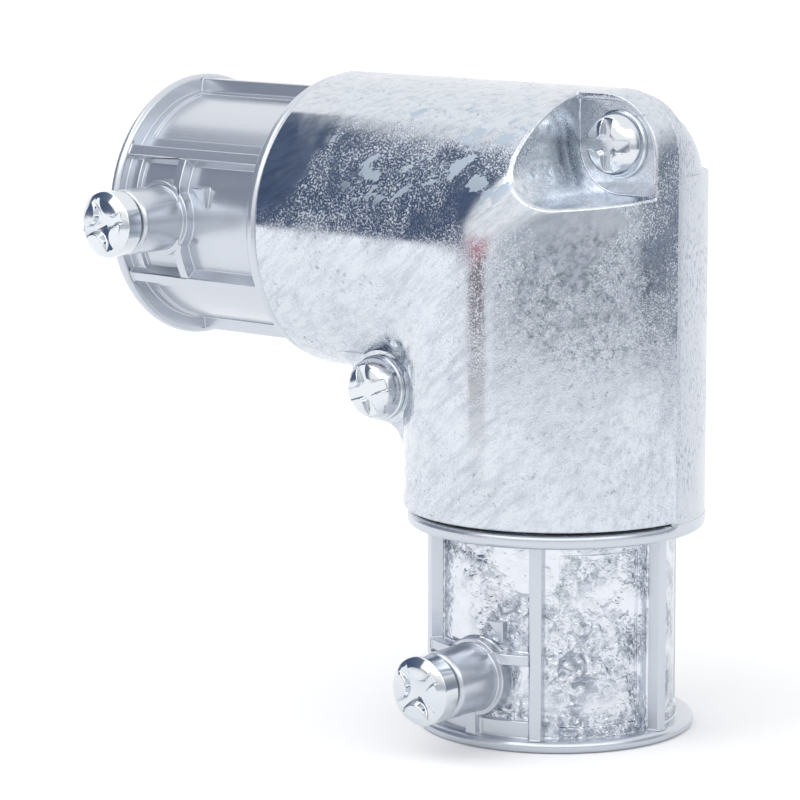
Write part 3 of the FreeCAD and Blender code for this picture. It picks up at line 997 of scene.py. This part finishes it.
@dataclass
class CoverScrew(Screw):
    """Pan-head screw with a cross recess."""

    head_height: float = 2.8
    thread_radius: float = 2.05
    pitch: float = 0.8
    ring_height: float = 0.45
    ring_width: float = 0.2
    dome_steps: int = 14
    dome_turn: float = 84.0
    dome_power: float = 0.5
    cross_depth: float = 0.65
    wing_width: float = 1.35
    wing_rim: float = 0.3
    wing_taper: float = 0.92
    corner_fillet: float = 0.6
    corner_slack: float = 1.1

    def head(self) -> Object:
        """Draw a dome up from a thin ring, step by step, and cut its recess.

        Returns:
            The head.
        """
        head = self.disc(self.head_radius, self.ring_height, 0.0, self.sides)
        pick_faces(head, lambda face: face.normal.z > SQUARE)
        bpy.ops.mesh.inset(thickness=self.ring_width * MM)
        radius, level = self.head_radius - self.ring_width, self.ring_height
        dome, rise = radius, self.head_height - self.ring_height
        top_turn = math.radians(self.dome_turn)
        for step in range(1, self.dome_steps + 1):
            turn = top_turn * step / self.dome_steps
            wide = dome * math.cos(turn) ** self.dome_power
            high = self.ring_height + rise * math.sin(turn) / math.sin(top_turn)
            draw_up(high - level)
            narrow(wide / radius)
            radius, level = wide, high
        leave_edit()
        cut_away(head, self.cross_tool())
        return head

    def cross_tool(self) -> Object:
        """Draw the four sides of a square post out into tapered wings.

        Returns:
            The cutter of the recess.
        """
        half = self.wing_width / 2
        corner = half * self.corner_slack
        deselect()
        bpy.ops.mesh.primitive_cube_add(size=1.0)
        tool = bpy.context.object
        tool.scale = (self.wing_width * MM, self.wing_width * MM, 2 * self.cross_depth * MM)
        tool.location = (0.0, 0.0, self.head_height * MM)
        apply_place()
        pick_faces(tool, lambda face: abs(face.normal.z) < SQUARE)
        wing_length = self.head_radius - self.wing_rim - half
        bpy.ops.mesh.extrude_faces_move(TRANSFORM_OT_shrink_fatten={"value": wing_length * MM})
        pick_edges(tool, lambda one, two: max(abs(one.x), abs(one.y), abs(two.x), abs(two.y)) < corner
                   and abs(one.z - two.z) > half)
        bpy.ops.mesh.bevel(offset=self.corner_fillet * MM, segments=5, affect="EDGES")
        pick_faces(tool, lambda face: face.normal.z < -SQUARE)
        narrow(self.wing_taper)
        leave_edit()
        tool.rotation_euler = (0.0, 0.0, math.radians(self.spin))
        activate(tool)
        apply_place()
        return tool


@dataclass
class SetScrew(Screw):
    """Clamping screw whose drum of a head has four pads left between curved flutes."""

    head_height: float = 3.0
    thread_radius: float = 2.4
    pitch: float = 0.95
    crown_inset: float = 0.95
    front_slope: float = 7.0
    front_tip: float = 0.2
    star_depth: float = 1.2
    arm_depth: float = 0.4
    tool_share: float = 1.3
    pads: int = 4
    pad_radius: float = 1.5
    pad_offset: float = 3.0
    pad_slope: float = 0.35

    def head(self) -> Object:
        """Bevel a drum, cone its front faintly and cut its recess.

        Returns:
            The head.
        """
        head = self.disc(self.head_radius, self.head_height, 0.0, self.sides)
        pick_faces(head, lambda face: face.normal.z > SQUARE)
        bpy.ops.mesh.bevel(offset=self.crown_inset * MM, segments=1, affect="EDGES")
        pick_faces(head, lambda face: face.normal.z > SQUARE)
        rise = math.tan(math.radians(self.front_slope)) * (self.head_radius - self.crown_inset)
        bpy.ops.transform.translate(value=(0.0, 0.0, -rise * MM))
        draw_up(rise * (1 - self.front_tip))
        narrow(self.front_tip)
        leave_edit()
        cut_away(head, self.star_tool())
        return head

    def star_tool(self) -> Object:
        """Take pads that widen downwards out of a shallow cone.

        Returns:
            The cutter of the recess.
        """
        slope = (self.star_depth - self.arm_depth) / self.head_radius
        reach = self.head_radius * self.tool_share
        floor = self.head_height - self.star_depth
        deselect()
        bpy.ops.mesh.primitive_cone_add(
            vertices=self.sides, radius1=0.0, radius2=reach * MM, depth=slope * reach * MM,
            location=(0.0, 0.0, (floor + slope * reach / 2) * MM))
        apply_place()
        tool = bpy.context.object
        pick_faces(tool, lambda face: face.normal.z > SQUARE)
        draw_up(self.star_depth)
        leave_edit()
        for number in range(self.pads):
            cut_away(tool, self.pad(math.radians(self.spin + 360 / self.pads * (number + 0.5))))
        return tool

    def pad(self, turn: float) -> Object:
        """Add one pad, from the recess's floor to above the head.

        Args:
            turn: Its direction from the screw's axis, in radians.

        Returns:
            The pad.
        """
        above = self.star_depth / 2
        middle = Vector((self.pad_offset * math.cos(turn), self.pad_offset * math.sin(turn),
                         self.head_height + (above - self.star_depth) / 2))
        deselect()
        bpy.ops.mesh.primitive_cone_add(
            vertices=self.sides, radius1=(self.pad_radius + self.pad_slope * self.star_depth) * MM,
            radius2=(self.pad_radius - self.pad_slope * above) * MM,
            depth=(self.star_depth + above) * MM, location=middle * MM)
        return bpy.context.object


@dataclass
class Viewpoint:
    """Camera of the photograph: a long lens, a little above the fitting and to its right."""

    place: Triple = (252.78, -318.35, 103.25)
    target: Triple = (-23.026, 0.0, 34.05)
    lens: float = 166.71
    roll: float = -0.092
    nearest: float = 10.0

    def build(self) -> None:
        """Add the camera and look through it."""
        place, target = Vector(self.place) * MM, Vector(self.target) * MM
        data = bpy.data.cameras.new("viewpoint")
        data.lens = self.lens
        data.clip_start = self.nearest * MM
        camera = bpy.data.objects.new("viewpoint", data)
        bpy.context.scene.collection.objects.link(camera)
        camera.location = place
        turn = (target - place).to_track_quat("-Z", "Y")
        camera.rotation_mode = "QUATERNION"
        camera.rotation_quaternion = turn @ Quaternion((0, 0, 1), math.radians(self.roll))
        bpy.context.scene.camera = camera


@dataclass(frozen=True)
class Card:
    """A curved card round the fitting, seen only in its reflections.

    It runs between two headings, in degrees from +X towards +Y, and turns white over a fade below its
    top edge and a foot above its bottom edge.
    """

    name: str
    tone: str
    radius: float
    start: float
    stop: float
    top: float
    bottom: float = 0.0
    fade: float = 1.0
    foot: float = 0.01
    glow: float = 1.0
    sides: int = 180

    def build(self) -> None:
        """Roll a tube about the fitting and keep the part of it between the headings."""
        deselect()
        bpy.ops.mesh.primitive_cylinder_add(
            vertices=self.sides, radius=self.radius * MM, depth=(self.top - self.bottom) * MM,
            end_fill_type="NOTHING", location=(0.0, 0.0, (self.top + self.bottom) / 2 * MM))
        card = bpy.context.object
        card.name = self.name
        pick_faces(card, lambda face: not self.covers(face.center))
        bpy.ops.mesh.delete(type="FACE")
        leave_edit()
        card.data.materials.append(self.material())
        card.visible_camera = False
        card.visible_diffuse = False
        card.visible_shadow = False

    def covers(self, point: Vector) -> bool:
        """Tell whether a point lies between the two headings."""
        return (math.degrees(math.atan2(point.y, point.x)) - self.start) % 360 < self.stop - self.start

    def material(self) -> Material:
        """Build the glowing material, white towards both edges.

        Returns:
            The material of the card.
        """
        material, tree = blank_material(self.name)
        place = add_node(tree, "TexCoord", []).outputs["Object"]
        height = add_node(tree, "SeparateXYZ", [place]).outputs["Z"]
        half = (self.top - self.bottom) / 2
        above = add_node(tree, "MapRange", [height, (half - self.fade) * MM, half * MM])
        below = add_node(tree, "MapRange", [height, -half * MM, (self.foot - half) * MM, 1.0, 0.0])
        pale = add_node(tree, "Math", [above, below], operation="MAXIMUM")
        tone = layered(tree, linear(self.tone), [(pale, linear(WHITE))])
        add_node(tree, "OutputMaterial", [add_node(tree, "Emission", {"Color": tone, "Strength": self.glow})])
        return material


@dataclass
class Studio:
    """White table and sky, with dark and grey walls beyond the table that give the metal its contrast."""

    floor_size: float = 6000.0
    floor_tone: str = "#FBFBFC"
    sky: float = 1.12
    lamp_place: Triple = (-500.0, -700.0, 1100.0)
    lamp_size: float = 900.0
    lamp_power: float = 3.5
    cards: tuple[Card, ...] = (
        Card("left_wall", "#55647F", radius=900.0, start=-182.0, stop=-122.0, top=1060.0),
        Card("soft_box", WHITE, radius=800.0, start=-100.0, stop=10.0, top=1000.0, bottom=430.0, glow=2.2),
        Card("right_wall", "#8D95A3", radius=290.0, start=10.0, stop=52.0, top=260.0, fade=190.0),
        Card("front_wall", "#CDD1D7", radius=290.0, start=-100.0, stop=10.0, top=90.0, fade=40.0),
        Card("dark_card", "#6A5C66", radius=215.0, start=-119.0, stop=-105.0, top=42.0, foot=24.0),
        Card("pink_card", "#E08E9A", radius=215.0, start=-119.0, stop=-107.0, top=66.0, bottom=42.0,
             fade=8.0),
        Card("light_strip", WHITE, radius=800.0, start=-117.0, stop=-111.0, top=360.0, bottom=110.0,
             glow=1.2),
    )

    def build(self) -> None:
        """Set the stage."""
        bpy.context.scene.view_settings.view_transform = "Standard"
        self.light_world()
        self.lay_floor()
        for card in self.cards:
            card.build()
        self.hang_lamp()

    def light_world(self) -> None:
        """Surround the fitting with plain white."""
        world = bpy.data.worlds.new("studio")
        world.use_nodes = True
        bpy.context.scene.world = world
        tree = world.node_tree
        tree.nodes.clear()
        glow = add_node(tree, "Background", {"Color": linear(WHITE), "Strength": self.sky})
        add_node(tree, "OutputWorld", [glow])

    def lay_floor(self) -> None:
        """Lay the pale floor that the fitting stands on."""
        deselect()
        bpy.ops.mesh.primitive_plane_add(size=self.floor_size * MM)
        floor = bpy.context.object
        floor.name = "floor"
        material, tree = blank_material("floor_white")
        add_node(tree, "OutputMaterial", [add_node(tree, "BsdfDiffuse", [linear(self.floor_tone)])])
        floor.data.materials.append(material)

    def hang_lamp(self) -> None:
        """Hang a soft square lamp that faces the fitting."""
        data = bpy.data.lights.new("key_lamp", "AREA")
        data.size = self.lamp_size * MM
        data.energy = self.lamp_power
        lamp = bpy.data.objects.new("key_lamp", data)
        bpy.context.scene.collection.objects.link(lamp)
        lamp.location = Vector(self.lamp_place) * MM
        lamp.rotation_euler = (-lamp.location).to_track_quat("-Z", "Y").to_euler()


def main() -> None:
    """Build every sub-assembly in order and report each piece."""
    logging.basicConfig(level=logging.INFO)
    Viewpoint().build()
    Studio().build()
    satin, bright, plated = SatinZinc().material(), TumbledZinc().material(), PlatedSteel().material()
    pieces = [
        Body(satin),
        Cover(bright),
        CoverScrew(plated, "cover_screw_outer", spin=0.0),
        CoverScrew(plated, "cover_screw_inner", spin=18.0),
        SetScrew(plated, "set_screw_side", spin=20.0),
        SetScrew(plated, "set_screw_bottom", spin=40.0),
    ]
    for piece in pieces:
        item = piece.build()
        log.info("%s: %d faces", item.name, len(item.data.polygons))


if __name__ == "__main__":
    main()
